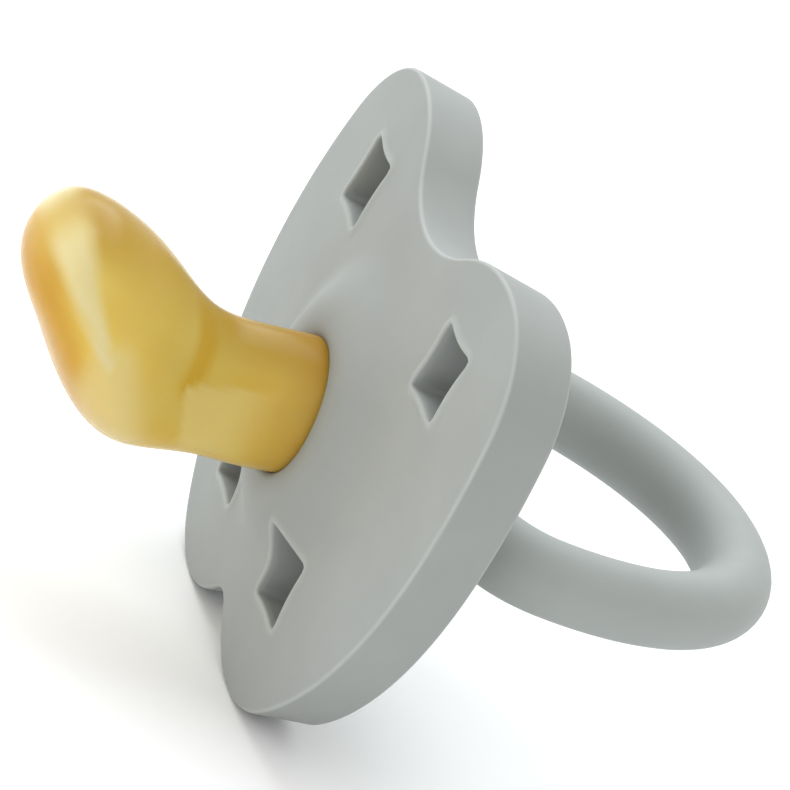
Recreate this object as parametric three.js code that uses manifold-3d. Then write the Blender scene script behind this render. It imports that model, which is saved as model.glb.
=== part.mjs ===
// An orthodontic rubber pacifier: teat, butterfly-shaped shield, plug, ring handle and knob cap.
//
// Units are millimetres. While a piece is drawn, y = 0 is the middle of the shield's face and the
// y axis is the axis of the teat's neck: the teat points along -y, the ring along +y, and the nose
// notch of the shield is up, along +z. At the end the whole is moved so that the origin is the
// middle of the knob's flat face. The object is the same left and right of x = 0.

import * as THREE from 'three';
import { mergeVertices } from 'three/addons/utils/BufferGeometryUtils.js';
import Module from 'manifold-3d';

const wasm = await Module();
wasm.setup();

// ---- Driving dimensions ----

const gap = 0.3; // between pieces that touch or nest

// Shield: a plate of even thickness, very slightly domed towards the mouth
const shieldThickness = 5.15;
const domeRadius = 245;
const wallDraft = 0.14; // how far the edge wall leans in, per millimetre of depth
const draftStart = 1.2; // depth at which the outline has its full size
const collarHeight = 2.1; // raised ring of the face around the neck
const collarInner = 6.0;
const collarOuter = 13.0;
const boreRadius = 5.5;
const boreChamfer = 0.5; // where the bore meets the top of the collar
const seatRadius = 9.1; // counterbore in the back, for the teat's flange
const seatDepth = 2.8; // from the middle of the face to the seat

// Half of the shield's outline, from the nose notch clockwise to the chin notch: arcs that run
// into each other, as radius and turn in degrees. A negative radius is a hollow arc.
const noseNotchHeight = 16.0;
const outlineArcs = [
  { name: 'nose notch', radius: -13.5, turn: 34 },
  { name: 'wing crest', radius: 13.5, turn: 44 },
  { name: 'wing shoulder', radius: 9.5, turn: 67 },
  { name: 'upper flank', radius: 35.5, turn: 16 },
  { name: 'lower flank', radius: 27.5, turn: 49 },
  { name: 'lower lobe', radius: 11, turn: 78 },
];
const chinNotchTurn = 40;

// Four-pointed star vents, tips on the diagonals
const ventTipRadius = 3.75;
const ventWaistRadius = 2.1; // to the middle of a hollow side
const ventCentres = [
  { x: 14.2, z: 12.2 },
  { x: 8.75, z: -9.5 },
];

// Teat: ribs from the root to the tip, each with its top and bottom as [y, z] in the plane
// x = 0 and half its width across. flat is how flat the underside is, from 0 to 1.
const teatRibs = [
  { top: [4.2, 5.2], bottom: [4.2, -5.2], halfWidth: 5.2, flat: 0 },
  { top: [-1.0, 5.15], bottom: [-1.0, -5.25], halfWidth: 5.2, flat: 0 },
  { top: [-4.0, 4.8], bottom: [-4.0, -5.75], halfWidth: 5.1, flat: 0 },
  { top: [-8.0, 4.35], bottom: [-8.0, -6.15], halfWidth: 5.2, flat: 0.1 },
  { top: [-11.1, 4.9], bottom: [-12.3, -6.95], halfWidth: 6.1, flat: 0.3 },
  { top: [-14.6, 6.85], bottom: [-15.7, -6.45], halfWidth: 7.4, flat: 0.6 },
  { top: [-18.5, 8.55], bottom: [-19.3, -4.0], halfWidth: 7.8, flat: 0.8 },
  { top: [-21.6, 9.1], bottom: [-22.4, -0.8], halfWidth: 7.2, flat: 0.8 },
  { top: [-23.6, 8.5], bottom: [-24.6, 1.6], halfWidth: 5.6, flat: 0.6 },
];
const teatTip = [-25.48, 5.04];
const teatWall = 1.4;
const undersideSquareness = 0.4; // of a section whose flat is 1
const hollowExit = 2; // how far the hollow runs on past the root, to open the flange
const flangeRadius = 8.7;
const flangeThickness = 1.3;

// Plug: a pin that holds the neck open, a head that traps the flange, a saddle for the ring
const plugPinTip = -1.5;
const plugPinChamfer = 0.8;
const plugHeadThickness = 1.5;
const knobRadius = 7.0;
const knobEdgeRadius = 1.4;
const saddleSink = 0.5; // how far the saddle is sunk into the head, so that they are one body
const pegRadius = 1.1;
const pegOffset = 5.0; // above and below the ring's bar
const pegDepth = 2.6;
const pegRoot = 1; // how far a peg is sunk into the cap

// Ring handle: a straight bar in the knob, corners, and a half oval
const ringTubeRadius = 2.85;
const ringHalfWidth = 15.7;
const ringCornerEnd = 14.9; // y where the corners end and the oval starts
const ringOvalLength = 19.5;
const ringOvalPower = 0.95; // below 1, the oval is a little squarer than an ellipse
const ringDroop = 1.5; // degrees below level at rest
const hingeDepth = 9.0; // y of the bar's middle
const hingeHeight = 1.1; // z of the bar's middle
const knobFaceDepth = 14.2; // y of the knob's flat face

// Cutting shapes, which reach past what they cut
const prismFront = -4; // y of the ends of the shapes that cut through the shield
const prismBack = 10;
const plateReach = 30; // radius of the plate before it is cut to the outline
const grooveLength = 30;

// Fineness of the curved surfaces
const arcStep = 9; // degrees per step along the outline
const collarSteps = 10;
const plateSteps = 3;
const ventSideSteps = 6;
const turnSegments = 48;
const knobEdgeSteps = 4;
const pegSegments = 20;
const grooveSegments = 32;
const teatSegments = 24;
const teatRingsPerRib = 4;
const teatLastRing = 0.985; // the outer skin is closed this far along, short of a bare point
const ringSegments = 16;
const ringSteps = 72;
const barSteps = 3; // in half of the bar
const cornerSteps = 8;
const ovalSteps = 22; // in half of the oval

// ---- Helpers ----

const radians = THREE.MathUtils.degToRad;
const domeDepth = (r) => (r * r) / (2 * domeRadius);
const frontDepth = (r) => domeDepth(r)
  - collarHeight * (1 - THREE.MathUtils.smootherstep(r, collarInner, collarOuter));

function material(color, roughness) {
  return new THREE.MeshStandardMaterial({ color, roughness, metalness: 0 });
}

// A manifold-3d solid from a closed three.js geometry
function solid(geometry) {
  const bare = new THREE.BufferGeometry();
  bare.setAttribute('position', geometry.getAttribute('position').clone());
  if (geometry.index) bare.setIndex(geometry.index.clone());
  const merged = mergeVertices(bare, 1e-4);
  return new wasm.Manifold(new wasm.Mesh({
    numProp: 3,
    vertProperties: new Float32Array(merged.getAttribute('position').array),
    triVerts: new Uint32Array(merged.index.array),
  }));
}

function geometryOf(manifold) {
  const mesh = manifold.getMesh();
  const geometry = new THREE.BufferGeometry();
  geometry.setAttribute('position', new THREE.BufferAttribute(mesh.vertProperties, 3));
  geometry.setIndex(new THREE.BufferAttribute(mesh.triVerts, 1));
  return geometry;
}

// A turned solid about the y axis, from a closed profile of [radius, y]
function turned(profile, z = 0, segments = turnSegments) {
  const points = profile.map(([r, y]) => new THREE.Vector2(r, y));
  const closed = points[0].equals(points[points.length - 1]);
  const onAxis = points[0].x === 0;
  if (!closed && !onAxis) points.push(points[0].clone());
  const geometry = new THREE.LatheGeometry(points, segments);
  geometry.translate(0, 0, z);
  return outward(geometry);
}

// A solid turned right side out, whichever way its profile was drawn
function outward(geometry) {
  const made = solid(geometry);
  if (made.volume() > 0) return made;
  const index = geometry.index.array;
  for (let i = 0; i < index.length; i += 3) {
    [index[i], index[i + 1]] = [index[i + 1], index[i]];
  }
  return solid(geometry);
}

// A closed solid through rings of points, all with the same number of points
function lofted(rings) {
  const count = rings[0].length;
  const positions = rings.flat().flatMap((p) => [p.x, p.y, p.z]);
  const index = [];
  for (let i = 0; i + 1 < rings.length; i += 1) {
    for (let j = 0; j < count; j += 1) {
      const a = i * count + j;
      const b = i * count + ((j + 1) % count);
      index.push(a, b, a + count, b, b + count, a + count);
    }
  }
  for (const end of [0, rings.length - 1]) {
    const flat = rings[end].map((p) => new THREE.Vector2(p.x, p.z));
    // Triangles come out counter-clockwise, so the end caps are flipped to match the sides
    const flip = (THREE.ShapeUtils.area(flat) > 0) === (end === 0);
    const start = end * count;
    for (const [a, b, c] of THREE.ShapeUtils.triangulateShape(flat, [])) {
      index.push(start + a, start + (flip ? c : b), start + (flip ? b : c));
    }
  }
  const geometry = new THREE.BufferGeometry();
  geometry.setAttribute('position', new THREE.Float32BufferAttribute(positions, 3));
  geometry.setIndex(index);
  return geometry;
}

// ---- Shield ----

// The whole outline as points (x, z), moved in by inset everywhere
function shieldOutline(inset) {
  const half = [new THREE.Vector2(0, noseNotchHeight - inset)];
  let heading = 0; // degrees, 0 along +x
  const follow = (radius, turn) => {
    const start = half.at(-1);
    const side = Math.sign(radius);
    const size = Math.abs(radius) - side * inset;
    const from = radians(heading);
    const centre = new THREE.Vector2(
      start.x + side * size * Math.sin(from),
      start.y - side * size * Math.cos(from),
    );
    const steps = Math.ceil(turn / arcStep);
    for (let i = 1; i <= steps; i += 1) {
      const at = from - side * radians((turn * i) / steps);
      half.push(new THREE.Vector2(
        centre.x - side * size * Math.sin(at),
        centre.y + side * size * Math.cos(at),
      ));
    }
    heading -= side * turn;
  };
  for (const { radius, turn } of outlineArcs) follow(radius, turn);
  // The chin notch has the radius that ends the half outline on x = 0
  const chinRadius = half.at(-1).x / Math.sin(radians(chinNotchTurn)) - inset;
  follow(-chinRadius, chinNotchTurn);
  half.at(-1).x = 0;
  const mirrored = half.slice(1, -1).reverse().map((p) => new THREE.Vector2(-p.x, p.y));
  return [...half, ...mirrored];
}

// The outline's wall as a solid that leans in towards the back
function shieldPrism() {
  const ringAt = (y) => shieldOutline(wallDraft * (y - draftStart))
    .map((p) => new THREE.Vector3(p.x, y, p.y));
  return outward(lofted([ringAt(prismFront), ringAt(prismBack)]));
}

// Steps from one number to another, both included
function steps(from, to, count) {
  return Array.from({ length: count + 1 }, (_, i) => THREE.MathUtils.lerp(from, to, i / count));
}

// The domed plate with its collar, bore and seat, before it is cut to the outline
function shieldPlate() {
  const collar = steps(collarInner, collarOuter, collarSteps);
  const plate = steps(collarOuter, plateReach, plateSteps);
  const front = [...collar, ...plate.slice(1)].map((r) => [r, frontDepth(r)]);
  const back = [seatRadius, ...plate].reverse().map((r) => [r, domeDepth(r) + shieldThickness]);
  const boreFront = frontDepth(collarInner) + boreChamfer;
  return turned([[boreRadius, boreFront], ...front, ...back, [seatRadius, seatDepth],
    [boreRadius, seatDepth]]);
}

// One vent, as a prism that cuts right through the plate
function ventPrism({ x, z }) {
  const shape = new THREE.Shape();
  const tip = (k, r) => [r * Math.cos(radians(45 + 90 * k)), r * Math.sin(radians(45 + 90 * k))];
  // The control point that puts the middle of a side at the waist radius
  const pull = 2 * ventWaistRadius - ventTipRadius * Math.SQRT1_2;
  shape.moveTo(...tip(0, ventTipRadius));
  for (let k = 0; k < 4; k += 1) {
    shape.quadraticCurveTo(...tip(k + 0.5, pull), ...tip(k + 1, ventTipRadius));
  }
  const geometry = new THREE.ExtrudeGeometry(shape, {
    depth: prismBack - prismFront,
    bevelEnabled: false,
    curveSegments: ventSideSteps,
  });
  geometry.rotateX(Math.PI / 2);
  geometry.translate(x, prismBack, z);
  return outward(geometry);
}

function makeShield() {
  let shield = shieldPlate().intersect(shieldPrism());
  for (const { x, z } of ventCentres) {
    for (const side of [-1, 1]) shield = shield.subtract(ventPrism({ x: side * x, z }));
  }
  return new THREE.Mesh(geometryOf(shield), material(0xb0b3ad, 0.62));
}

// ---- Teat ----

// One smooth line along the tops of the ribs, over the tip and back along the bottoms. Its x is
// the half width of the rib, or minus it on the way back, which makes the tip round.
const teatLine = new THREE.CatmullRomCurve3([
  ...teatRibs.map((rib) => new THREE.Vector3(rib.halfWidth, ...rib.top)),
  new THREE.Vector3(0, ...teatTip),
  ...teatRibs.toReversed().map((rib) => new THREE.Vector3(-rib.halfWidth, ...rib.bottom)),
], false, 'centripetal');

// How flat the underside is, at a place counted in ribs from the root
function flatness(place) {
  const before = Math.min(Math.floor(place), teatRibs.length - 1);
  const after = Math.min(before + 1, teatRibs.length - 1);
  return THREE.MathUtils.lerp(teatRibs[before].flat, teatRibs[after].flat, place - before);
}

// One cross-section of the teat, at a place counted in ribs from the root, moved in by inset
function teatSection(place, inset) {
  const t = place / (2 * teatRibs.length);
  const top = teatLine.getPoint(t);
  const bottom = teatLine.getPoint(1 - t);
  const halfWidth = top.x - inset;
  top.x = 0;
  bottom.x = 0;
  const centre = top.clone().add(bottom).multiplyScalar(0.5);
  const up = top.clone().sub(bottom).normalize();
  const halfHeight = top.distanceTo(bottom) / 2 - inset;
  const squareness = 1 - undersideSquareness * flatness(place);
  return Array.from({ length: teatSegments }, (_, j) => {
    const angle = (2 * Math.PI * j) / teatSegments;
    const rise = Math.sin(angle);
    const lift = rise < 0 ? -(Math.abs(rise) ** squareness) : rise;
    return centre.clone()
      .addScaledVector(up, halfHeight * lift)
      .setX(halfWidth * Math.cos(angle));
  });
}

function makeTeat() {
  const places = steps(0, teatRibs.length, teatRibs.length * teatRingsPerRib);
  const tip = teatRibs.length - 1 + teatLastRing;
  const outer = places.map((place) => teatSection(Math.min(place, tip), 0));
  // The hollow stops at the last rib, a wall short of the tip
  const hollow = places.filter((place) => place <= teatRibs.length - 1);
  const inner = hollow.map((place) => teatSection(place, teatWall));
  inner.unshift(inner[0].map((p) => p.clone().setY(p.y + hollowExit)));
  const flangeFront = seatDepth + gap;
  const flange = turned([
    [0, flangeFront],
    [flangeRadius, flangeFront],
    [flangeRadius, flangeFront + flangeThickness],
    [0, flangeFront + flangeThickness],
  ]);
  const teat = outward(lofted(outer)).add(flange).subtract(outward(lofted(inner)));
  return new THREE.Mesh(geometryOf(teat), material(0xcfae52, 0.35));
}

// ---- Knob: plug and cap ----

const headFront = seatDepth + flangeThickness + 2 * gap;
const headBack = headFront + plugHeadThickness;

// A straight groove along x that the ring's bar turns in
function barGroove() {
  const radius = ringTubeRadius + gap;
  const geometry = new THREE.CylinderGeometry(radius, radius, grooveLength, grooveSegments);
  geometry.rotateZ(Math.PI / 2);
  geometry.translate(0, hingeDepth, hingeHeight);
  return solid(geometry);
}

// A pin above or below the bar, from the depth where it starts into the cap
function peg(radius, from, side) {
  const to = hingeDepth + pegRoot;
  const profile = [[0, from], [radius, from], [radius, to], [0, to]];
  return turned(profile, hingeHeight + side * pegOffset, pegSegments);
}

function makePlug() {
  const pinRadius = teatRibs[0].halfWidth - teatWall - gap;
  const headRadius = flangeRadius;
  let plug = turned([
    [0, plugPinTip],
    [pinRadius - plugPinChamfer, plugPinTip],
    [pinRadius, plugPinTip + plugPinChamfer],
    [pinRadius, headFront],
    [headRadius, headFront],
    [headRadius, headBack],
    [0, headBack],
  ]);
  const saddleFront = headBack - saddleSink;
  const saddleBack = hingeDepth - gap / 2;
  const saddle = turned([
    [0, saddleFront],
    [knobRadius, saddleFront],
    [knobRadius, saddleBack],
    [0, saddleBack],
  ], hingeHeight);
  plug = plug.add(saddle).subtract(barGroove());
  for (const side of [-1, 1]) {
    plug = plug.subtract(peg(pegRadius + gap, hingeDepth - pegDepth - gap, side));
  }
  return new THREE.Mesh(geometryOf(plug), material(0x9ea29c, 0.5));
}

function makeKnobCap() {
  const profile = [[0, hingeDepth + gap / 2], [knobRadius, hingeDepth + gap / 2]];
  for (const angle of steps(0, Math.PI / 2, knobEdgeSteps)) {
    profile.push([
      knobRadius - knobEdgeRadius * (1 - Math.cos(angle)),
      knobFaceDepth - knobEdgeRadius * (1 - Math.sin(angle)),
    ]);
  }
  profile.push([0, knobFaceDepth]);
  let cap = turned(profile, hingeHeight).subtract(barGroove());
  for (const side of [-1, 1]) {
    cap = cap.add(peg(pegRadius, hingeDepth - pegDepth, side));
  }
  return new THREE.Mesh(geometryOf(cap), material(0xa6aaa4, 0.5));
}

// ---- Ring handle ----

// The middle of the ring's tube, as a closed line in the plane z = 0, with the bar on the x axis
function ringLine() {
  const corner = ringCornerEnd - hingeDepth;
  const barEnd = ringHalfWidth - corner;
  const bar = steps(0, barEnd, barSteps).slice(0, -1).map((x) => [x, 0]);
  const bend = steps(0, Math.PI / 2, cornerSteps).slice(0, -1).map((angle) => [
    barEnd + corner * Math.sin(angle),
    corner * (1 - Math.cos(angle)),
  ]);
  const oval = steps(0, Math.PI / 2, ovalSteps).map((angle) => [
    ringHalfWidth * Math.cos(angle) ** ringOvalPower,
    corner + ringOvalLength * Math.sin(angle),
  ]);
  const half = [...bar, ...bend, ...oval];
  const mirrored = half.slice(1, -1).reverse().map(([x, y]) => [-x, y]);
  const points = [...half, ...mirrored].map(([x, y]) => new THREE.Vector3(x, y, 0));
  return new THREE.CatmullRomCurve3(points, true, 'centripetal');
}

function makeRingHandle() {
  const line = ringLine();
  // Rings of points around the tube; the line is flat, so each one stands square to it
  const positions = [];
  const index = [];
  for (let i = 0; i < ringSteps; i += 1) {
    const middle = line.getPointAt(i / ringSteps);
    const ahead = line.getTangentAt(i / ringSteps);
    const out = new THREE.Vector3(ahead.y, -ahead.x, 0);
    for (let j = 0; j < ringSegments; j += 1) {
      const angle = (2 * Math.PI * j) / ringSegments;
      const point = middle.clone().addScaledVector(out, ringTubeRadius * Math.cos(angle));
      point.z += ringTubeRadius * Math.sin(angle);
      positions.push(point.x, point.y, point.z);
      const nextRing = ((i + 1) % ringSteps) * ringSegments;
      const nextPoint = (j + 1) % ringSegments;
      const a = i * ringSegments + j;
      const b = i * ringSegments + nextPoint;
      index.push(a, nextRing + j, b, b, nextRing + j, nextRing + nextPoint);
    }
  }
  const geometry = new THREE.BufferGeometry();
  geometry.setAttribute('position', new THREE.Float32BufferAttribute(positions, 3));
  geometry.setIndex(index);
  const mesh = new THREE.Mesh(geometryOf(outward(geometry)), material(0xa9ada7, 0.6));
  mesh.rotation.x = -radians(ringDroop);
  mesh.position.set(0, hingeDepth, hingeHeight);
  return mesh;
}

// ---- The pacifier ----

const pacifier = new THREE.Group();
const pieces = {
  teat: makeTeat(),
  shield: makeShield(),
  teat_plug: makePlug(),
  knob_cap: makeKnobCap(),
  ring_handle: makeRingHandle(),
};
for (const [name, mesh] of Object.entries(pieces)) {
  mesh.name = name;
  pacifier.add(mesh);
}
pacifier.position.set(0, -knobFaceDepth, -hingeHeight);

export default pacifier;
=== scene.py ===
# A rubber pacifier with an amber teat, a butterfly-shaped shield and a ring handle, on a pale floor.
#
# Shapes are worked out in millimetres in the shield's own frame: y = 0 is the middle of its face,
# the y axis is the axis of the teat's neck (the teat points along -y), and +z is the nose notch.
# to_frame() takes such a point to the CAD frame, in metres.

import math

import bmesh
import bpy
import numpy as np
from mathutils import Matrix, Vector
from mathutils.geometry import delaunay_2d_cdt


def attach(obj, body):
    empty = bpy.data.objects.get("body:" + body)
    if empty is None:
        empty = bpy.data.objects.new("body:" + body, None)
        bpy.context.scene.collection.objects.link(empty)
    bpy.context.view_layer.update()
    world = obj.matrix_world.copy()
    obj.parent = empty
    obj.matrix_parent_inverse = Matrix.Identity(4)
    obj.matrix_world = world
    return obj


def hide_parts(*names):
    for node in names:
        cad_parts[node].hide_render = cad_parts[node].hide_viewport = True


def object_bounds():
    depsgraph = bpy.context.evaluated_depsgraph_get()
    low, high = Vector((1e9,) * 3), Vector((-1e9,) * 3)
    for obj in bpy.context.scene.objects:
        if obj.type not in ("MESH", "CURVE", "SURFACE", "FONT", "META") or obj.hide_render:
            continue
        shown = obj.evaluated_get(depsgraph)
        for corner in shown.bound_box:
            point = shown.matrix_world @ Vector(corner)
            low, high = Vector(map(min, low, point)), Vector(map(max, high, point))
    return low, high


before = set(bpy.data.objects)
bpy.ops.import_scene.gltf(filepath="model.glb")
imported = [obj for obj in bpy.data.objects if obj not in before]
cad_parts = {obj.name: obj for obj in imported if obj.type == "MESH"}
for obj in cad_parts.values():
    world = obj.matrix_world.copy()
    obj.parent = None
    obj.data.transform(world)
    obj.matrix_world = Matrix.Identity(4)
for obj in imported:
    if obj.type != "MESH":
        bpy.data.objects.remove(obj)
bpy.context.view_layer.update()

# ---- Dimensions, mm ----

MM = 0.001
MERGE = 0.001 * MM  # points nearer than this are one point
KNOB_FACE = 14.2  # y of the knob's flat face, which is the CAD frame's origin
HINGE_HEIGHT = 1.1  # z of the ring's bar and of the knob's middle
QUARTER_TURN = [math.radians(15 * i) for i in range(7)]  # angles over a rounded edge

# Shield
THICKNESS = 5.15
DOME_RADIUS = 245.0
WALL_DRAFT = 0.14  # the edge wall leans in towards the back
DRAFT_START = 1.2  # the y where the wall is on the outline
WALL_LOOPS = 5
COLLAR_HEIGHT = 2.1
COLLAR_INNER = 6.0
COLLAR_OUTER = 13.0
BORE_RADIUS = 5.12
BORE_LIP_DEPTH = 0.55
BORE_LIP_DROP = 0.2  # the lip's inner edge sits lower than its outer edge
SEAT_RADIUS = 9.1
SEAT_Y = 2.8
SEAT_BEVEL = 0.2
SEAT_FLARE = 1.022  # from the seat's radius to the radius of its bevel's outer edge
FRONT_EDGE_RADIUS = 0.35
BACK_EDGE_RADIUS = 0.4
BACK_EDGE_HIGHLIGHT = 0.4  # painted highlight on the back edge, beside 1 for the front edge
NOSE_NOTCH_Z = 16.0
# Half of the outline, from the nose notch clockwise: radius (negative if hollow), turn in degrees
OUTLINE_ARCS = [(-13.5, 34), (13.5, 44), (9.5, 67), (35.5, 16), (27.5, 49), (11.0, 78)]
CHIN_TURN = 40
CHIN_STEPS = 8
OUTLINE_STEP = 0.5  # spacing of points along edges
FACE_STEP = 0.6  # spacing of points on faces
FACE_ROW = 0.87  # spacing of the rings of points on faces, in FACE_STEPs
FACE_CLEARANCE = 0.5  # how near an edge a point on a face may be, in FACE_STEPs

# Star vents
VENT_CENTRES = [(14.2, 12.2), (8.75, -9.5)]
VENT_TIP = 3.75
VENT_WAIST = 2.1
VENT_SOFTNESS = 0.08  # rounds the tips
VENT_TURN = 45  # brings the tips onto the diagonals
VENT_POINTS = 72
# The soft rounded lip round a vent: distance out from its edge, height above the face
VENT_LIP = [(0.85, 0.0), (0.6, 0.05), (0.4, 0.13), (0.22, 0.16), (0.08, 0.1), (0.0, -0.05)]
VENT_LIP_HIGHLIGHT = 4.0  # painted highlight on a vent's lip, per mm of height
VENT_WALL_LOOPS = 8
VENT_WALL_END = 0.3  # how far short of the back the wall ends
VENT_SHADE_DEPTH = 2.2  # the depth from which the wall's painted shade is full
# The vent's edge at the back: distance out, depth below the face, how much painted shade
VENT_BACK_EDGE = [(0.04, 0.16, 1.0), (0.12, 0.06, 0.0), (0.28, 0.0, 0.0)]

# Teat: ribs with top and bottom as (y, z), half width, and how flat the underside is
TEAT_RIBS = [
    ((4.2, 5.2), (4.2, -5.2), 5.2, 0.0),
    ((-1.0, 5.15), (-1.0, -5.25), 5.2, 0.0),
    ((-4.0, 4.8), (-4.0, -5.75), 5.1, 0.0),
    ((-8.0, 4.35), (-8.0, -6.15), 5.2, 0.1),
    ((-11.1, 4.9), (-12.3, -6.95), 6.1, 0.3),
    ((-14.6, 6.85), (-15.7, -6.45), 7.4, 0.6),
    ((-18.5, 8.55), (-19.3, -4.0), 7.8, 0.8),
    ((-21.6, 9.1), (-22.4, -0.8), 7.2, 0.8),
    ((-23.6, 8.5), (-24.6, 1.6), 5.6, 0.6),
]
TEAT_WALL = 1.4
TEAT_RINGS = 90
TEAT_SEGMENTS = 72
TEAT_TIP = (-25.48, 5.04)
TEAT_TIP_GAP = 1.38  # from the last rib to the tip, along the teat
TEAT_SQUARING = 0.4  # how much squarer a fully flat underside makes a section
HOLLOW_END_GAP = 1.2  # how far the hollow's last section is from the tip, in walls
HOLLOW_END_LOOPS = 5
HOLLOW_END_BULGE = 0.25
FLANGE_RADIUS = 8.4
FLANGE_FRONT = 3.1
FLANGE_BACK = 4.4
FLANGE_EDGE = 0.2

# Knob
KNOB_RADIUS = 7.0
KNOB_EDGE = 1.4
KNOB_EDGE_STEPS = 8
KNOB_FACE_RING = [(4.6, 0.0), (4.3, 0.12), (4.0, 0.0)]  # a shallow groove: radius, depth
HEAD_RADIUS = 8.85
HEAD_FRONT = 4.7
HEAD_BACK = 6.2
PLUG_ROUND = 0.3
ROUND_STEPS = 5
ROUND_SHARE = 0.45  # the most of a side that one rounded corner may take
SPLIT_GAP = 0.3  # between plug and cap, and across the groove round the bar
TURN_SEGMENTS = 96
AXIS = 0.001  # a radius too small to see, for points on the axis of a turned piece
GROOVE_LENGTH = 30
GROOVE_SEGMENTS = 64
GROOVE_EDGE = 0.25
GROOVE_EDGE_STEPS = 3
GROOVE_EDGE_ANGLE = 50  # edges sharper than this are softened

# Ring handle
RING_TUBE = 2.85
RING_HALF_WIDTH = 15.7
RING_CORNER_END = 14.9
RING_OVAL_LENGTH = 19.5
RING_OVAL_POWER = 0.95
RING_DROOP = 1.5  # degrees
HINGE_Y = 9.0
BAR_POINTS = 12
CORNER_POINTS = 24
OVAL_POINTS = 60
RING_STEPS = 240
RING_EASING = 12  # passes that run the bends into each other
RING_SEGMENTS = 40

# ---- Colour marks on the teat, mm and degrees ----

# A painted highlight over the bulb, a fainter painted highlight beside it, and painted shade along
# the line where the bulb meets the neck, as (x, y, z, half width)
HIGHLIGHT_LINE = [(0, -24.2, 7.3, 1.6), (2.9, -24.0, 7.1, 1.7), (5.4, -23.4, 6.2, 1.35),
              (7.0, -22.2, 4.6, 1.0), (7.6, -20.6, 2.9, 0.75), (7.7, -18.9, 1.1, 0.7)]
HIGHLIGHT_HAZE_LINE = [(7.7, -18.6, 1.1, 1.8), (6.8, -17.4, -2.0, 2.6), (5.2, -15.4, -4.6, 2.4)]
CREASE_SHADE_LINE = [(1.1, -12.1, 5.3, 1.2), (3.8, -11.5, 3.8, 1.2), (5.3, -11.7, 2.2, 1.0),
               (6.1, -12.3, 0.8, 0.7)]
LINE_EDGE = (1.4, 0.4)  # in half widths, where a line starts and where it is full
HIGHLIGHT_HAZE = 0.5  # how strong the fainter painted highlight is, beside the main one
HIGHLIGHT_MIDDLE = 0.25  # how strong the painted highlight is in the middle plane, x = 0
HIGHLIGHT_FADE = 4.5  # the x from which it is full
ROOT_FADE = (-7.0, 0.0)  # the y where the browner root starts, and where it is full
# The ways that the painted shade on the bulb's underside, a deeper orange, and the browner painted shade on
# the teat's top face, and how
# nearly a point has to face that way: where the colour starts, and where it is full
UNDERSIDE = (0, -0.85, -0.53)
TOP_SHADE_FACING = (-0.3, -0.1, 0.95)
FACING = (0.2, 1.0)
# The painted highlight, paler, on each side of the neck: y and degrees above the middle, over which it
# fades, and how its ends slant
NECK_MIDDLE = -0.7
PATCH_BULB_END = (-11.9, -11.4)
PATCH_BULB_SLANT = 0.045  # mm per degree
PATCH_ROOT_END = (-3.5, -8.5)
PATCH_TOP = (48, 43)  # at y = 0
PATCH_TOP_SLANT = 2.6  # degrees per mm
PATCH_BOTTOM = (-50, -30)

# ---- Finishes: display colours from 0 to 255 ----

# Grey pieces: light and dark cloud, roughness
SHIELD_FINISH = ((149, 152, 149), (143, 146, 143), 0.6)
RING_FINISH = ((153, 157, 154), (147, 151, 148), 0.58)
CAP_FINISH = ((147, 150, 146), (141, 144, 140), 0.5)
PLUG_FINISH = ((143, 146, 142), (137, 140, 136), 0.5)
EDGE_PAINTED_HIGHLIGHT = 1.25  # painted highlight on moulded edges, beside the light cloud
FLECK_SHADE = 0.93  # flecks beside the dark cloud
HOLE_PAINTED_SHADE = 0.8  # painted shade on the walls of holes, beside the dark cloud
AMBER_DARK = (203, 168, 70)
AMBER_LIGHT = (211, 187, 100)
# painted shade where the bulb meets the neck
AMBER_CREASE_SHADE = (201, 163, 58)
# painted shade on the top of the teat
AMBER_TOP_SHADE = (165, 130, 36)
# painted shade on the bulb's underside, a deeper orange
AMBER_UNDERSIDE_SHADE = (178, 134, 40)
# painted highlight on each side of the neck
AMBER_NECK_HIGHLIGHT = (215, 192, 116)
# painted highlight over the bulb
AMBER_HIGHLIGHT = (207, 195, 146)
AMBER_ROOT = (164, 118, 44)
CLOUD_STOPS = (0.3, 0.7)  # noise values where a cloudy colour is fully dark and fully light

# ---- Floor, light and camera, m ----

FLOOR_SHADES = (0.92, 0.94)
FLOOR_HALF_SIDE = 3.0
FLOOR_GAP = 0.05 * MM
WORLD_STRENGTH = 1.05
SKY_COLOUR = (0.88, 0.96, 1.0)
MIDDLE = Vector((0, -0.012, 0))  # what the sky light points at
BULB = Vector((0, -0.038, 0.004))  # what the strip light points at
POOL_PLACE = Vector((0.055, -0.085, -0.02))  # a patch of floor that a small light brightens
POOL_SPREAD = 25
SENSOR_MM = 36
LENS_MM = 423.35
CLIP = (0.05, 20)
CAMERA_PLACE = (0.56918, -0.26027, 0.24785)
CAMERA_RIGHT = Vector((0.18318533, 0.86787336, 0.46177805))
CAMERA_UP = Vector((-0.49202638, -0.32572142, 0.80735098))

# ---- Helpers ----


def to_frame(point):
    """A point in mm in the shield's frame, as a Vector in metres in the CAD frame."""
    x, y, z = point
    return Vector((x, y - KNOB_FACE, z - HINGE_HEIGHT)) * MM


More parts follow.
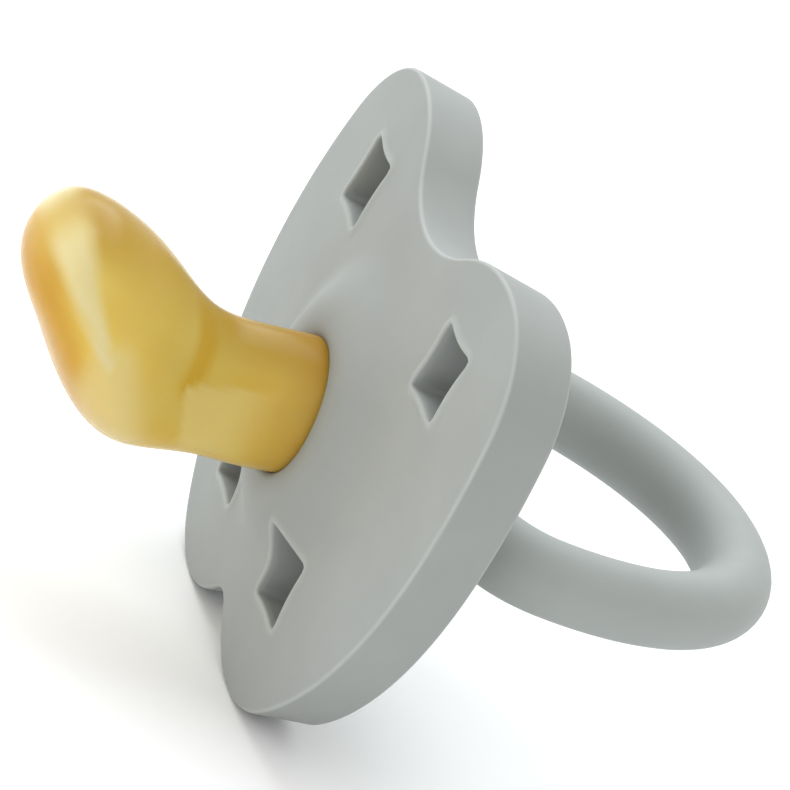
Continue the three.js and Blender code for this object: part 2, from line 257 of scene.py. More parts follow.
def mesh_object(name, surface, body, material):
    """A smooth-shaded piece that rides on a CAD body."""
    mesh = bpy.data.meshes.new(name)
    mesh.from_pydata([to_frame(p) for p in surface.points], [], surface.faces)
    for mark, values in surface.marks.items():
        mesh.attributes.new(mark, "FLOAT", "POINT").data.foreach_set("value", values)
    work = bmesh.new()
    work.from_mesh(mesh)
    bmesh.ops.remove_doubles(work, verts=work.verts, dist=MERGE)
    bmesh.ops.recalc_face_normals(work, faces=work.faces)
    work.to_mesh(mesh)
    work.free()
    mesh.shade_smooth()
    piece = bpy.data.objects.new(name, mesh)
    bpy.context.scene.collection.objects.link(piece)
    piece.data.materials.append(material)
    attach(piece, body)
    return piece


def turned_loop(radius, y, middle, count):
    """A circle of count points about the y axis at the height middle."""
    angles = [2 * math.pi * j / count for j in range(count)]
    return [(radius * math.cos(a), y, middle + radius * math.sin(a)) for a in angles]


def flat(loop):
    """The (x, z) points of a loop of (x, y, z) points."""
    return [(x, z) for x, _, z in loop]


def bands(rings):
    """Faces between rings of point numbers that all have the same count."""
    count = len(rings[0])
    faces = []
    for low, high in zip(rings, rings[1:]):
        for j in range(count):
            k = (j + 1) % count
            faces.append((low[j], low[k], high[k], high[j]))
    return faces


class Surface:
    """Collects the points and faces of one mesh, and marks from 0 to 1 that its material reads."""

    def __init__(self, *marks):
        self.points = []
        self.faces = []
        self.marks = {mark: [] for mark in marks}

    def loop(self, points, **marks):
        start = len(self.points)
        self.points.extend(points)
        for mark, values in self.marks.items():
            values.extend([marks.get(mark, 0.0)] * len(points))
        return list(range(start, len(self.points)))

    def loft(self, loops, **marks):
        """Faces through loops of points; each mark is a list with a value for each loop."""
        made = []
        for i, points in enumerate(loops):
            made.append(self.loop(points, **{mark: values[i] for mark, values in marks.items()}))
        self.faces.extend(bands(made))


def inside(points, loop):
    """Which of the (x, z) points lie inside a closed loop."""
    x, z = points[:, 0][:, None], points[:, 1][:, None]
    a = np.array(loop)
    b = np.roll(a, -1, axis=0)
    crosses = (a[:, 1] > z) != (b[:, 1] > z)
    rise = np.where(b[:, 1] == a[:, 1], 1e-12, b[:, 1] - a[:, 1])
    at = a[:, 0] + (z - a[:, 1]) / rise * (b[:, 0] - a[:, 0])
    return (np.sum(crosses & (x < at), axis=1) % 2).astype(bool)


# ---- Shield ----


def dome(r):
    """How far back the dome is at a distance from the middle."""
    return r * r / (2 * DOME_RADIUS)


def face_y(x, z):
    """The front face: a slight dome with a collar that rises to the teat's neck."""
    r = math.hypot(x, z)
    t = min(max((r - COLLAR_INNER) / (COLLAR_OUTER - COLLAR_INNER), 0.0), 1.0)
    return dome(r) - COLLAR_HEIGHT * (1 - t ** 3 * (10 - 15 * t + 6 * t * t))


def back_y(x, z):
    """The back face, domed alike."""
    return dome(math.hypot(x, z)) + THICKNESS


def outline(inset):
    """The shield's outline as (x, z) points, moved in by inset; the same count for every inset."""
    half = [(0.0, NOSE_NOTCH_Z - inset)]
    heading = 0.0

    def follow(radius, turn, steps):
        """Adds an arc that starts in the heading; side is 1 for a bulge and -1 for a hollow."""
        nonlocal heading
        side = math.copysign(1, radius)
        size = abs(radius) - side * inset
        start = math.radians(heading)
        cx = half[-1][0] + side * size * math.sin(start)
        cz = half[-1][1] - side * size * math.cos(start)
        for i in range(1, steps + 1):
            at = start - side * math.radians(turn * i / steps)
            half.append((cx - side * size * math.sin(at), cz + side * size * math.cos(at)))
        heading -= side * turn

    for radius, turn in OUTLINE_ARCS:
        follow(radius, turn, math.ceil(abs(radius) * math.radians(turn) / OUTLINE_STEP))
    chin = half[-1][0] / math.sin(math.radians(CHIN_TURN)) - inset
    follow(-chin, CHIN_TURN, CHIN_STEPS)
    half[-1] = (0.0, half[-1][1])
    return half + [(-x, z) for x, z in reversed(half[1:-1])]


def wall_inset(y):
    """How far the edge wall has leant in."""
    return WALL_DRAFT * (y - DRAFT_START)


def star(cx, cz, out):
    """A four-pointed star with hollow sides and rounded tips on the diagonals, out mm bigger."""
    power = 1 / (0.5 - math.log2(VENT_WAIST / VENT_TIP))
    base = []
    for i in range(VENT_POINTS):
        angle = 2 * math.pi * i / VENT_POINTS
        c = math.hypot(math.cos(angle), VENT_SOFTNESS) ** power
        s = math.hypot(math.sin(angle), VENT_SOFTNESS) ** power
        reach = VENT_TIP / (c + s) ** (1 / power) * (1 + VENT_SOFTNESS ** power) ** (1 / power)
        base.append((reach * math.cos(angle), reach * math.sin(angle)))
    a = np.array(base)
    along = np.roll(a, -1, axis=0) - np.roll(a, 1, axis=0)
    along /= np.linalg.norm(along, axis=1)[:, None]
    moved = a + out * np.stack([along[:, 1], -along[:, 0]], axis=1)
    turn = math.radians(VENT_TURN)
    c = math.cos(turn)
    s = math.sin(turn)
    return [(cx + c * x - s * z, cz + s * x + c * z) for x, z in moved]


def circle(radius):
    """A circle of (x, z) points about the middle."""
    count = round(2 * math.pi * radius / OUTLINE_STEP)
    return flat(turned_loop(radius, 0.0, 0.0, count))


def face_spots(reach):
    """Even (x, z) points on rings about the middle, out to a reach."""
    spots = []
    row = 0
    radius = FACE_STEP
    while radius < reach:
        count = round(2 * math.pi * radius / FACE_STEP)
        for i in range(count):
            angle = 2 * math.pi * (i + 0.5 * (row % 2)) / count
            spots.append((radius * math.cos(angle), radius * math.sin(angle)))
        radius += FACE_STEP * FACE_ROW
        row += 1
    return np.array(spots)


def within(points, edge, holes):
    """Which of the (x, z) points lie inside a loop and outside the holes."""
    keep = inside(points, edge)
    for hole in holes:
        keep &= ~inside(points, hole)
    return keep


def fill(surface, edge, holes, height):
    """Fills the face between an outer loop and holes, at the height (y) that a formula gives."""
    loops = [edge, *holes]
    border = np.array([p for loop in loops for p in loop])
    spots = face_spots(max(math.hypot(x, z) for x, z in edge))
    nearest = np.array([np.min(np.hypot(*(border - s).T)) for s in spots])
    keep = within(spots, edge, holes) & (nearest > FACE_STEP * FACE_CLEARANCE)
    places = [Vector(p) for p in border] + [Vector(p) for p in spots[keep]]
    ties = []
    start = 0
    for loop in loops:
        count = len(loop)
        ties += [(start + i, start + (i + 1) % count) for i in range(count)]
        start += count
    made, _, triangles, *_ = delaunay_2d_cdt(places, ties, [], 0, 1e-5)
    centres = np.array([np.mean([made[i] for i in t], axis=0) for t in triangles])
    wanted = within(centres, edge, holes)
    numbers = surface.loop([(p.x, height(p.x, p.y), p.y) for p in made])
    surface.faces += [tuple(numbers[i] for i in t) for t, w in zip(triangles, wanted) if w]


def edge_loops():
    """Loops over the shield's rim, and how strong the painted highlight on each is: front edge, leaning
    wall, back edge.
    """
    loops = []
    for angle in QUARTER_TURN:
        loops.append((FRONT_EDGE_RADIUS * (1 - math.sin(angle)), FRONT_EDGE_RADIUS * (1 - math.cos(angle))))
    span = THICKNESS - FRONT_EDGE_RADIUS - BACK_EDGE_RADIUS
    for k in range(1, WALL_LOOPS + 1):
        loops.append((0.0, FRONT_EDGE_RADIUS + span * k / (WALL_LOOPS + 1)))
    for angle in reversed(QUARTER_TURN):
        loops.append((BACK_EDGE_RADIUS * (1 - math.sin(angle)),
                      THICKNESS - BACK_EDGE_RADIUS * (1 - math.cos(angle))))
    made = []
    full = outline(0)
    for inset, depth in loops:
        fronts = [face_y(x, z) for x, z in full]
        middle = sum(fronts) / len(fronts) + depth
        moved = outline(inset + wall_inset(middle))
        made.append([(x, face_y(x, z) + depth, z) for x, z in moved])
    # painted highlight, strongest halfway round each rounded edge
    front = [math.sin(2 * angle) ** 2 for angle in QUARTER_TURN]
    back = [BACK_EDGE_HIGHLIGHT * pale for pale in front]
    return made, [*front, *[0.0] * WALL_LOOPS, *back]


def add_vent(surface, cx, cz):
    """A star vent's skin, from its front lip down its wall to the back face, with a painted highlight on
    the lip and painted shade down the wall.
    """
    loops = []
    edge = []
    depth = []
    for out, rise in VENT_LIP:
        loops.append([(x, face_y(x, z) - rise, z) for x, z in star(cx, cz, out)])
        edge.append(min(max(rise * VENT_LIP_HIGHLIGHT, 0.0), 1.0))
        depth.append(0.0)
    for k in range(1, VENT_WALL_LOOPS + 1):
        sink = (THICKNESS - VENT_WALL_END) * k / VENT_WALL_LOOPS
        loops.append([(x, face_y(x, z) + sink, z) for x, z in star(cx, cz, 0)])
        edge.append(0.0)
        depth.append(min(1.0, sink / VENT_SHADE_DEPTH))
    for out, sink, painted_shade in VENT_BACK_EDGE:
        loops.append([(x, back_y(x, z) - sink, z) for x, z in star(cx, cz, out)])
        edge.append(0.0)
        depth.append(painted_shade)
    surface.loft(loops, edge=edge, depth=depth)


def bore_loops(bore):
    """Loops from the collar's lip through the bore and the flange's seat to the back face."""
    def at(radius, y, drop=0.0):
        return [(x * radius / COLLAR_INNER, y, z * radius / COLLAR_INNER - drop) for x, z in bore]

    loops = []
    for angle in QUARTER_TURN:
        inward = math.sin(angle)
        radius = COLLAR_INNER + (BORE_RADIUS - COLLAR_INNER) * inward
        y = face_y(COLLAR_INNER, 0) + BORE_LIP_DEPTH * (1 - math.cos(angle))
        loops.append(at(radius, y, BORE_LIP_DROP * inward))
    loops += [at(BORE_RADIUS, SEAT_Y), at(SEAT_RADIUS, SEAT_Y)]
    seat_edge = flat(loops[-1])
    mouth = [(x * SEAT_FLARE, z * SEAT_FLARE) for x, z in seat_edge]
    loops.append([(x, back_y(x, z) - SEAT_BEVEL, z) for x, z in seat_edge])
    loops.append([(x, back_y(x, z), z) for x, z in mouth])
    return loops


def make_shield(material):
    """The rubber plate: rim, vents, bore and seat, then the two faces between them."""
    # the edge mark carries a painted highlight, the depth mark painted shade
    surface = Surface("edge", "depth")
    rim, painted_rim_highlight = edge_loops()
    surface.loft(rim, edge=painted_rim_highlight)
    vents = [(side * x, z) for x, z in VENT_CENTRES for side in (-1, 1)]
    for cx, cz in vents:
        add_vent(surface, cx, cz)
    bore = circle(COLLAR_INNER)
    seat = bore_loops(bore)
    surface.loft(seat)
    front_holes = [star(cx, cz, VENT_LIP[0][0]) for cx, cz in vents]
    back_holes = [star(cx, cz, VENT_BACK_EDGE[-1][0]) for cx, cz in vents]
    fill(surface, flat(rim[0]), [bore, *front_holes], face_y)
    fill(surface, flat(rim[-1]), [flat(seat[-1]), *back_holes], back_y)
    shield = mesh_object("shield_moulding", surface, "pacifier_body", material)
    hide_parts("shield")


# ---- Teat ----


def natural_spline(knots, values, at):
    """A natural cubic spline through rows of values at the knots."""
    knots = np.asarray(knots, float)
    values = np.asarray(values, float)
    n = len(knots)
    h = np.diff(knots)
    matrix = np.eye(n)
    right = np.zeros((n, values.shape[1]))
    for i in range(1, n - 1):
        matrix[i, i - 1:i + 2] = h[i - 1], 2 * (h[i - 1] + h[i]), h[i]
        right[i] = 6 * ((values[i + 1] - values[i]) / h[i] - (values[i] - values[i - 1]) / h[i - 1])
    bend = np.linalg.solve(matrix, right)
    made = []
    for t in at:
        i = min(max(int(np.searchsorted(knots, t)) - 1, 0), n - 2)
        a, b = knots[i + 1] - t, t - knots[i]
        made.append((bend[i] * a ** 3 + bend[i + 1] * b ** 3) / (6 * h[i])
                    + (values[i] / h[i] - bend[i] * h[i] / 6) * a
                    + (values[i + 1] / h[i] - bend[i + 1] * h[i] / 6) * b)
    return np.array(made)


def teat_section(row, inset, scale=1.0, advance=0.0):
    """One cross-section of the teat, from a row of teat_rows(): inset, scaled and moved ahead."""
    top, bottom = row[0:2], row[2:4]
    middle = (top + bottom) / 2
    up = (top - bottom) / np.linalg.norm(top - bottom)
    ahead = np.array([-up[1], up[0]])
    half_height = (np.linalg.norm(top - bottom) / 2 - inset) * scale
    half_width = (row[4] - inset) * scale
    power = 1 - TEAT_SQUARING * min(max(row[5], 0.0), 1.0)
    middle = middle + ahead * advance
    ring = []
    for j in range(TEAT_SEGMENTS):
        angle = 2 * math.pi * j / TEAT_SEGMENTS
        rise = math.sin(angle)
        lift = rise if rise > 0 else -abs(rise) ** power
        y, z = middle + up * half_height * lift
        ring.append((half_width * math.cos(angle), y, z))
    return ring


def teat_rows(count):
    """Spline rows of the teat from the root to the tip: top, bottom, half width, flatness.

    Top and bottom are one line that runs over the tip, so the tip is round. It is measured by the
    square root of the distance to the tip, in which a round end is a straight line."""
    middles = np.array([(np.array(top) + np.array(bottom)) / 2 for top, bottom, _, _ in TEAT_RIBS])
    steps = np.linalg.norm(np.diff(middles, axis=0), axis=1)
    remaining = TEAT_TIP_GAP + np.concatenate([np.cumsum(steps[::-1])[::-1], [0]])
    knots = -np.sqrt(remaining)
    there = [[*top, width, flatness] for top, _, width, flatness in TEAT_RIBS]
    back = [[*bottom, -width, flatness] for _, bottom, width, flatness in reversed(TEAT_RIBS)]
    values = [*there, [*TEAT_TIP, 0, 0], *back]
    places = [*knots, 0, *(-knots[::-1])]
    at = knots[0] * (1 - np.arange(count) / count)
    over = natural_spline(places, values, at)
    under = natural_spline(places, values, -at)
    return [np.array([*o[:2], *u[:2], o[2], o[3]]) for o, u in zip(over, under)]


def teat_outside():
    """The loops of the outer skin, from the root to the tip."""
    loops = [teat_section(row, 0) for row in teat_rows(TEAT_RINGS)]
    return [*loops, [(0.0, *TEAT_TIP)] * TEAT_SEGMENTS]


def tip_distance(row):
    """How far the middle of a section is from the tip."""
    return np.linalg.norm((row[0:2] + row[2:4]) / 2 - np.array(TEAT_TIP))


def teat_inside():
    """The loops of the hollow, from the root to its blunt end."""
    rows = teat_rows(TEAT_RINGS // 2)
    rows = [row for row in rows if tip_distance(row) > HOLLOW_END_GAP * TEAT_WALL]
    loops = [teat_section(row, TEAT_WALL) for row in rows]
    for k in range(1, HOLLOW_END_LOOPS + 1):
        scale = max(1 - k / HOLLOW_END_LOOPS, 0.001)
        loops.append(teat_section(rows[-1], TEAT_WALL, scale, HOLLOW_END_BULGE * (1 - scale ** 2)))
    return loops


def flange_loops():
    """The loops round the root flange, from the hollow to the outer skin."""
    root = TEAT_RIBS[0][2]
    profile = [(root - TEAT_WALL, FLANGE_BACK), (FLANGE_RADIUS - FLANGE_EDGE, FLANGE_BACK),
               (FLANGE_RADIUS, FLANGE_BACK - FLANGE_EDGE), (FLANGE_RADIUS, FLANGE_FRONT + FLANGE_EDGE),
               (FLANGE_RADIUS - FLANGE_EDGE, FLANGE_FRONT), (root + FLANGE_EDGE, FLANGE_FRONT)]
    return [turned_loop(radius, y, 0.0, TEAT_SEGMENTS) for radius, y in profile]


def near_line(points, line):
    """1 on a line and its mirror image, 0 past its width, for points of (x, y, z, half width)."""
    folded = points.copy()
    folded[:, 0] = np.abs(folded[:, 0])
    closest = np.full(len(points), np.inf)
    for (*start, start_width), (*end, end_width) in zip(line, line[1:]):
        start, end = np.array(start), np.array(end)
        along = np.clip((folded - start) @ (end - start) / np.sum((end - start) ** 2), 0, 1)
        away = folded - start - along[:, None] * (end - start)
        width = start_width + along * (end_width - start_width)
        closest = np.minimum(closest, np.linalg.norm(away, axis=1) / width)
    return smooth(closest, *LINE_EDGE)


def smooth(values, low, high):
    """0 at low, 1 at high, and an even ramp between, for low above or below high."""
    t = np.clip((values - low) / (high - low), 0, 1)
    return t * t * (3 - 2 * t)


def neck_highlight(points):
    """The painted highlight on the side of the neck: sharp at the bulb and above, fading to the root and
    below.
    """
    y = points[:, 1]
    angle = np.degrees(np.arctan2(points[:, 2] - NECK_MIDDLE, np.abs(points[:, 0])))
    along = smooth(y + PATCH_BULB_SLANT * angle, *PATCH_BULB_END) * smooth(y, *PATCH_ROOT_END)
    return along * smooth(angle - PATCH_TOP_SLANT * y, *PATCH_TOP) * smooth(angle, *PATCH_BOTTOM)


def mark_places(surface):
    """Marks the painted highlights on the bulb and the neck, the painted shade where the bulb meets the
    neck, and the root, from where each point is.
    """
    points = np.array(surface.points)
    painted_highlight = np.maximum(near_line(points, HIGHLIGHT_LINE), HIGHLIGHT_HAZE * near_line(points, HIGHLIGHT_HAZE_LINE))
    painted_highlight *= HIGHLIGHT_MIDDLE + (1 - HIGHLIGHT_MIDDLE) * smooth(np.abs(points[:, 0]), 0, HIGHLIGHT_FADE)
    root = np.clip((points[:, 1] - ROOT_FADE[0]) / (ROOT_FADE[1] - ROOT_FADE[0]), 0, 1)
    surface.marks["painted_highlight"] = list(painted_highlight)
    surface.marks["painted_crease_shade"] = list(near_line(points, CREASE_SHADE_LINE))
    surface.marks["root"] = list(root ** 2)
    surface.marks["painted_neck_highlight"] = list(neck_highlight(points))


def mark_facing(mesh):
    """Marks painted shade on the bulb's underside and on the top, from the way that each point faces."""
    normals = np.array([v.normal for v in mesh.vertices])
    for mark, way in (("painted_underside_shade", UNDERSIDE), ("painted_top_shade", TOP_SHADE_FACING)):
        mesh.attributes[mark].data.foreach_set("value", smooth(normals @ np.array(way), *FACING))


def make_teat(material):
    """The hollow rubber teat with its root flange."""
    surface = Surface("painted_highlight", "painted_crease_shade", "root", "painted_neck_highlight", "painted_underside_shade", "painted_top_shade")
    outer = [loop for loop in teat_outside() if max(p[1] for p in loop) < FLANGE_FRONT - FLANGE_EDGE]
    surface.loft([*reversed(teat_inside()), *flange_loops(), *outer])
    mark_places(surface)
    teat = mesh_object("teat_skin", surface, "pacifier_body", material)
    mark_facing(teat.data)
    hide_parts("teat")


# ---- Knob ----


def knob_piece(name, profile, material):
    """A piece turned about the y axis, from (radius, y, z of the middle), with the bar's groove."""
    surface = Surface()
    surface.loft([turned_loop(radius, y, middle, TURN_SEGMENTS) for radius, y, middle in profile])
    piece = mesh_object(name, surface, "pacifier_body", material)
    cut_groove(piece)
    return piece


def rounded(profile, radius):
    """The profile with every corner rounded, apart from its two ends."""
    made = [profile[0]]
    for before, corner, after in zip(profile, profile[1:], profile[2:]):
        a, c, b = (np.array(p, float) for p in (before, corner, after))
        r = min(radius, ROUND_SHARE * np.linalg.norm(a - c), ROUND_SHARE * np.linalg.norm(b - c))
        p = c + (a - c) / np.linalg.norm(a - c) * r
        q = c + (b - c) / np.linalg.norm(b - c) * r
        for k in range(ROUND_STEPS + 1):
            t = k / ROUND_STEPS
            made.append(tuple((1 - t) ** 2 * p + 2 * t * (1 - t) * c + t * t * q))
    return [*made, profile[-1]]


def groove_tool():
    """A rod on the ring's bar, which cuts its groove."""
    radius = (RING_TUBE + SPLIT_GAP / 2) * MM
    work = bmesh.new()
    bmesh.ops.create_cone(work, cap_ends=True, segments=GROOVE_SEGMENTS, depth=GROOVE_LENGTH * MM,
                          radius1=radius, radius2=radius)
    mesh = bpy.data.meshes.new("groove_tool")
    work.to_mesh(mesh)
    work.free()
    tool = bpy.data.objects.new("groove_tool", mesh)
    bpy.context.scene.collection.objects.link(tool)
    place = Matrix.Translation(to_frame((0, HINGE_Y, HINGE_HEIGHT)))
    tool.matrix_world = place @ Matrix.Rotation(math.pi / 2, 4, "Y")
    return tool


def cut_groove(piece):
    """Cuts the bar's groove through a knob piece, and softens the cut's edges."""
    tool = groove_tool()
    cut = piece.modifiers.new("groove", "BOOLEAN")
    cut.operation = "DIFFERENCE"
    cut.solver = "EXACT"
    cut.object = tool
    soften = piece.modifiers.new("soften", "BEVEL")
    soften.width = GROOVE_EDGE * MM
    soften.segments = GROOVE_EDGE_STEPS
    soften.limit_method = "ANGLE"
    soften.angle_limit = math.radians(GROOVE_EDGE_ANGLE)
    graph = bpy.context.evaluated_depsgraph_get()
    graph.update()
    made = bpy.data.meshes.new_from_object(piece.evaluated_get(graph))
    piece.modifiers.clear()
    piece.data = made
    made.shade_smooth()
    bpy.data.objects.remove(tool)


def make_cap(material):
    """The outer half of the knob, with a rounded edge and a shallow ring on its face."""
    split = HINGE_Y + SPLIT_GAP / 2
    profile = [(AXIS, split), (KNOB_RADIUS, split)]
    for k in range(KNOB_EDGE_STEPS + 1):
        angle = math.radians(90 * k / KNOB_EDGE_STEPS)
        profile.append((KNOB_RADIUS - KNOB_EDGE * (1 - math.cos(angle)),
                        KNOB_FACE - KNOB_EDGE * (1 - math.sin(angle))))
    profile += [(radius, KNOB_FACE - depth) for radius, depth in KNOB_FACE_RING]
    profile.append((AXIS, KNOB_FACE))
    profile = [(radius, y, HINGE_HEIGHT) for radius, y in profile]
    cap = knob_piece("knob_cap_shell", profile, material)
    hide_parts("knob_cap")


def make_plug(material):
    """The plug's head, on the teat's axis, and its saddle for the bar, on the knob's."""
    split = HINGE_Y - SPLIT_GAP / 2
    head = [(AXIS, HEAD_FRONT, 0.0), (HEAD_RADIUS, HEAD_FRONT, 0.0), (HEAD_RADIUS, HEAD_BACK, 0.0)]
    saddle = [(KNOB_RADIUS, HEAD_BACK, HINGE_HEIGHT), (KNOB_RADIUS, split, HINGE_HEIGHT),
              (AXIS, split, HINGE_HEIGHT)]
    plug = knob_piece("plug_saddle", rounded([*head, *saddle], PLUG_ROUND), material)
    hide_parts("teat_plug")


# ---- Ring handle ----


def ring_outline():
    """The middle of the ring's tube as (x, y) points, y from the bar: bar, corners, half oval."""
    corner = RING_CORNER_END - HINGE_Y
    bar = RING_HALF_WIDTH - corner
    half = [(bar * i / BAR_POINTS, 0.0) for i in range(BAR_POINTS)]
    for i in range(CORNER_POINTS):
        angle = math.radians(90 * i / CORNER_POINTS)
        half.append((bar + corner * math.sin(angle), corner * (1 - math.cos(angle))))
    for i in range(OVAL_POINTS):
        angle = math.radians(90 * i / OVAL_POINTS)
        half.append((RING_HALF_WIDTH * math.cos(angle) ** RING_OVAL_POWER,
                     corner + RING_OVAL_LENGTH * math.sin(angle)))
    half.append((0.0, corner + RING_OVAL_LENGTH))
    return np.array(half + [(-x, y) for x, y in reversed(half[1:-1])])


def ring_line():
    """The ring's outline, spaced evenly, then eased so that the bends run into each other."""
    points = ring_outline()
    closed = np.vstack([points, points[:1]])
    lengths = np.concatenate([[0], np.cumsum(np.linalg.norm(np.diff(closed, axis=0), axis=1))])
    at = np.linspace(0, lengths[-1], RING_STEPS, endpoint=False)
    even = np.stack([np.interp(at, lengths, closed[:, k]) for k in (0, 1)], axis=1)
    for _ in range(RING_EASING):
        even = (np.roll(even, 1, axis=0) + 2 * even + np.roll(even, -1, axis=0)) / 4
    return even


def make_ring(material):
    """The ring handle: a round tube along ring_line(), drooping a little from its bar."""
    surface = Surface()
    line = ring_line()
    ahead = np.roll(line, -1, axis=0) - np.roll(line, 1, axis=0)
    ahead /= np.linalg.norm(ahead, axis=1)[:, None]
    droop = math.radians(-RING_DROOP)
    loops = []
    for (x, y), (dx, dy) in zip(line, ahead):
        ring = []
        for j in range(RING_SEGMENTS):
            angle = 2 * math.pi * j / RING_SEGMENTS
            out = RING_TUBE * math.cos(angle)
            py = y - dx * out
            pz = RING_TUBE * math.sin(angle)
            ring.append((x + dy * out,
                         HINGE_Y + py * math.cos(droop) - pz * math.sin(droop),
                         HINGE_HEIGHT + py * math.sin(droop) + pz * math.cos(droop)))
        loops.append(ring)
    surface.loft([*loops, loops[0]])
    ring = mesh_object("ring_tube", surface, "ring", material)
    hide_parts("ring_handle")


# ---- Materials ----


def srgb(r, g, b):
    """A linear colour from display values from 0 to 255."""
    def channel(v):
        v /= 255
        return v / 12.92 if v <= 0.04045 else ((v + 0.055) / 1.055) ** 2.4
    return (channel(r), channel(g), channel(b), 1.0)


def shade(colour, factor):
    """A colour made lighter or darker."""
    return tuple(min(factor * c, 1.0) for c in colour[:3]) + (1.0,)


class Nodes:
    """Short calls for building one material's nodes."""

    def __init__(self, name):
        self.material = bpy.data.materials.new(name)
        self.material.use_nodes = True
        self.tree = self.material.node_tree
        self.shader = self.tree.nodes["Principled BSDF"]
        self.place = self.tree.nodes.new("ShaderNodeTexCoord").outputs["Object"]

    def noise(self, scale, detail, roughness=0.5):
        """Cloudy noise from 0 to 1, scale features to the metre."""
        node = self.tree.nodes.new("ShaderNodeTexNoise")
        node.inputs["Scale"].default_value = scale
        node.inputs["Detail"].default_value = detail
        node.inputs["Roughness"].default_value = roughness
        self.tree.links.new(self.place, node.inputs["Vector"])
        return node.outputs["Fac"]

    def specks(self, scale, size):
        """Small scattered spots: 1 on a spot, 0 elsewhere."""
        node = self.tree.nodes.new("ShaderNodeTexVoronoi")
        node.inputs["Scale"].default_value = scale
        self.tree.links.new(self.place, node.inputs["Vector"])
        return self.ramp(node.outputs["Distance"], [(0.0, (1, 1, 1, 1)), (size, (0, 0, 0, 1))])

    def ramp(self, source, stops):
        """A colour for each value, from (value, colour) stops."""
        node = self.tree.nodes.new("ShaderNodeValToRGB")
        elements = node.color_ramp.elements
        while len(elements) < len(stops):
            elements.new(0.5)
        for element, (position, colour) in zip(elements, stops):
            element.position = position
            element.color = colour
        self.tree.links.new(source, node.inputs["Fac"])
        return node.outputs["Color"]

    def mix(self, factor, a, b):
        """Colour a where the factor is 0, b where it is 1."""
        node = self.tree.nodes.new("ShaderNodeMix")
        node.data_type = "RGBA"
        for socket, value in ((node.inputs[0], factor), (node.inputs[6], a), (node.inputs[7], b)):
            if hasattr(value, "links"):
                self.tree.links.new(value, socket)
            else:
                socket.default_value = value
        return node.outputs[2]

    def spread(self, source, low, high):
        """A value from 0 to 1 brought to the range from low to high."""
        node = self.tree.nodes.new("ShaderNodeMapRange")
        node.inputs["To Min"].default_value = low
        node.inputs["To Max"].default_value = high
        self.tree.links.new(source, node.inputs["Value"])
        return node.outputs["Result"]

    def bump(self, source, strength, distance, under=None):
        """Raised detail, on top of another bump if there is one."""
        node = self.tree.nodes.new("ShaderNodeBump")
        node.inputs["Strength"].default_value = strength
        node.inputs["Distance"].default_value = distance
        self.tree.links.new(source, node.inputs["Height"])
        if under is not None:
            self.tree.links.new(under, node.inputs["Normal"])
        return node.outputs["Normal"]

    def cloudy(self, noise, dark, light):
        """A colour that drifts between dark and light."""
        return self.ramp(noise, list(zip(CLOUD_STOPS, (dark, light))))

    def mark(self, name):
        """A value from 0 to 1 that the mesh carries."""
        node = self.tree.nodes.new("ShaderNodeAttribute")
        node.attribute_name = name
        return node.outputs["Fac"]

    def set(self, name, value):
        """Sets or links one of the shader's own sockets."""
        socket = self.shader.inputs[name]
        if hasattr(value, "links"):
            self.tree.links.new(value, socket)
        else:
            socket.default_value = value


def rubber(name, light, dark, roughness):
    """Matt moulded rubber: cloudy colour, a fine grain, a few flecks, a painted highlight on edges, painted
    shade in holes.
    """
    light = srgb(*light)
    dark = srgb(*dark)
    nodes = Nodes(name)
    colour = nodes.cloudy(nodes.noise(scale=90, detail=3, roughness=0.55), dark, light)
    colour = nodes.mix(nodes.specks(scale=420, size=0.06), colour, shade(dark, FLECK_SHADE))
    # painted highlight along moulded edges and vent lips
    colour = nodes.mix(nodes.mark("edge"), colour, shade(light, EDGE_PAINTED_HIGHLIGHT))
    # painted shade down the walls of the vents
    colour = nodes.mix(nodes.mark("depth"), colour, shade(dark, HOLE_PAINTED_SHADE))
    nodes.set("Base Color", colour)
    patchy = nodes.noise(scale=260, detail=4, roughness=0.6)
    nodes.set("Roughness", nodes.spread(patchy, roughness - 0.06, roughness + 0.08))
    grain = nodes.noise(scale=5200, detail=3, roughness=0.6)
    grain = nodes.bump(grain, strength=0.25, distance=0.00002)
    waves = nodes.noise(scale=320, detail=2, roughness=0.5)
    nodes.set("Normal", nodes.bump(waves, strength=0.3, distance=0.00008, under=grain))
    nodes.set("Specular IOR Level", 0.4)
    nodes.set("Subsurface Weight", 0.12)
    nodes.set("Subsurface Radius", (1.0, 0.9, 0.8))
    nodes.set("Subsurface Scale", 0.0008)
    return nodes.material


def amber_rubber():
    """Natural latex: honey-coloured, translucent, glossy, slightly cloudy, with painted highlights and
    painted shade.
    """
    nodes = Nodes("amber_rubber_skin")
    cloud = nodes.noise(scale=75, detail=3)
    colour = nodes.cloudy(cloud, srgb(*AMBER_DARK), srgb(*AMBER_LIGHT))
    # painted shade and painted highlights, and the browner root, over the cloudy colour
    marks = (("painted_crease_shade", AMBER_CREASE_SHADE), ("painted_top_shade", AMBER_TOP_SHADE), ("painted_underside_shade", AMBER_UNDERSIDE_SHADE),
             ("painted_neck_highlight", AMBER_NECK_HIGHLIGHT), ("painted_highlight", AMBER_HIGHLIGHT), ("root", AMBER_ROOT))
    for mark, tint in marks:
        colour = nodes.mix(nodes.mark(mark), colour, srgb(*tint))
    nodes.set("Base Color", colour)
    nodes.set("Roughness", nodes.spread(nodes.noise(scale=210, detail=3), 0.18, 0.26))
    nodes.set("Normal", nodes.bump(nodes.noise(scale=230, detail=1), strength=0.1, distance=0.0001))
    nodes.set("Subsurface Weight", 1.0)
    nodes.set("Subsurface Radius", (0.8, 0.62, 0.3))
    nodes.set("Subsurface Scale", 0.0015)
    nodes.set("IOR", 1.5)
    nodes.set("Specular IOR Level", 0.12)
    return nodes.material


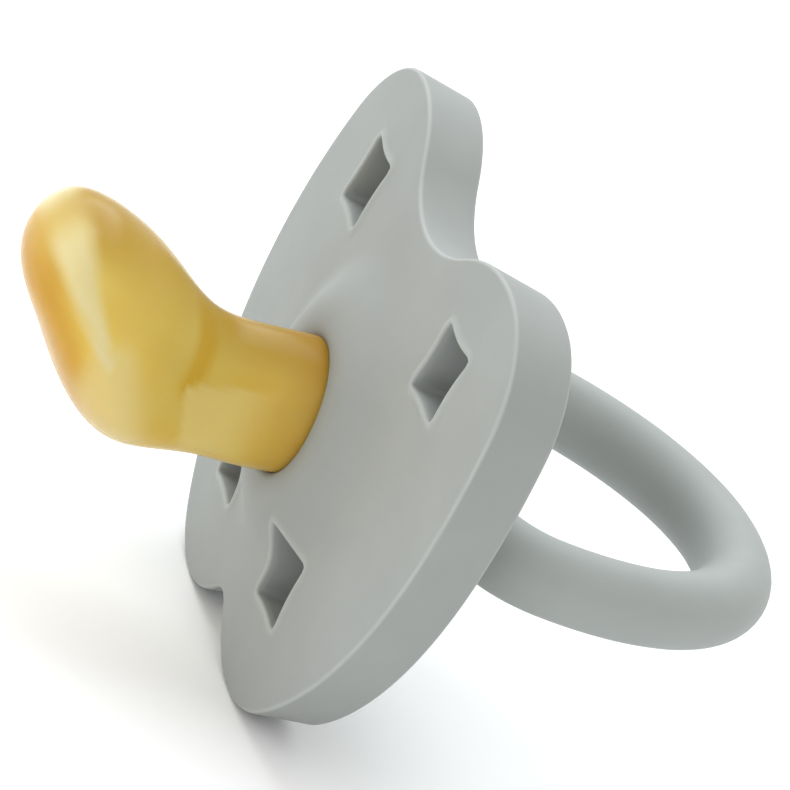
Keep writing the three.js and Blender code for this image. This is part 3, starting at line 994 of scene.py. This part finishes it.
def floor_material():
    """A pale matt floor, barely cloudy."""
    nodes = Nodes("pale_floor")
    low, high = ((v, v, v, 1) for v in FLOOR_SHADES)
    nodes.set("Base Color", nodes.cloudy(nodes.noise(scale=14, detail=2), low, high))
    nodes.set("Roughness", 0.9)
    return nodes.material


# ---- Making the floor, lights and camera ----


def make_floor():
    """A wide flat floor just under the object."""
    side = FLOOR_HALF_SIDE
    mesh = bpy.data.meshes.new("floor")
    low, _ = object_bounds()
    z = low.z - FLOOR_GAP
    mesh.from_pydata([(-side, -side, z), (side, -side, z), (side, side, z), (-side, side, z)], [],
                     [(0, 1, 2, 3)])
    floor = bpy.data.objects.new("floor", mesh)
    bpy.context.scene.collection.objects.link(floor)
    floor.data.materials.append(floor_material())


def area_light(name, target, direction, distance, size, power):
    """A soft rectangular light that shines on target from a direction."""
    light = bpy.data.lights.new(name, "AREA")
    light.shape = "RECTANGLE"
    light.size, light.size_y = size
    light.energy = power
    lamp = bpy.data.objects.new(name, light)
    bpy.context.scene.collection.objects.link(lamp)
    towards = Vector(direction).normalized()
    lamp.location = target + towards * distance
    lamp.visible_camera = False
    lamp.rotation_mode = "QUATERNION"
    lamp.rotation_quaternion = towards.to_track_quat("Z", "Y")
    return light


def make_lights():
    """A white studio: an even glow, a big soft light above, a strip for the bulb, a lit floor."""
    world = bpy.data.worlds.new("studio")
    bpy.context.scene.world = world
    world.use_nodes = True
    glow = world.node_tree.nodes["Background"]
    glow.inputs["Color"].default_value = (1, 1, 1, 1)
    glow.inputs["Strength"].default_value = WORLD_STRENGTH
    sky = area_light("sky", MIDDLE, direction=(-0.75, -0.02, 0.85), distance=0.9, size=(0.9, 0.9),
                     power=6.3)
    sky.color = SKY_COLOUR
    area_light("strip", BULB, direction=(-0.12, -1.0, 0.1), distance=0.12, size=(0.17, 0.014),
               power=0.025)
    pool = area_light("floor_pool", POOL_PLACE, direction=(0, 0, 1), distance=0.25, size=(0.05, 0.05),
                      power=0.02)
    pool.spread = math.radians(POOL_SPREAD)


def make_camera():
    """The camera of the reference view: a long lens, rolled."""
    camera = bpy.data.cameras.new("camera")
    camera.sensor_width = SENSOR_MM
    camera.lens = LENS_MM
    camera.clip_start, camera.clip_end = CLIP
    holder = bpy.data.objects.new("camera", camera)
    bpy.context.scene.collection.objects.link(holder)
    back = CAMERA_RIGHT.cross(CAMERA_UP)
    turn = Matrix((CAMERA_RIGHT, CAMERA_UP, back)).transposed().to_4x4()
    holder.matrix_world = Matrix.Translation(CAMERA_PLACE) @ turn
    bpy.context.scene.camera = holder


def main():
    """Makes the five pieces and the studio."""
    grey = rubber("grey_rubber_skin", *SHIELD_FINISH)
    ring_grey = rubber("ring_rubber_skin", *RING_FINISH)
    cap_grey = rubber("knob_skin", *CAP_FINISH)
    plug_grey = rubber("plug_skin", *PLUG_FINISH)
    make_shield(grey)
    make_teat(amber_rubber())
    make_cap(cap_grey)
    make_plug(plug_grey)
    make_ring(ring_grey)
    make_floor()
    make_lights()
    make_camera()
    bpy.context.scene.view_settings.view_transform = "Standard"


main()
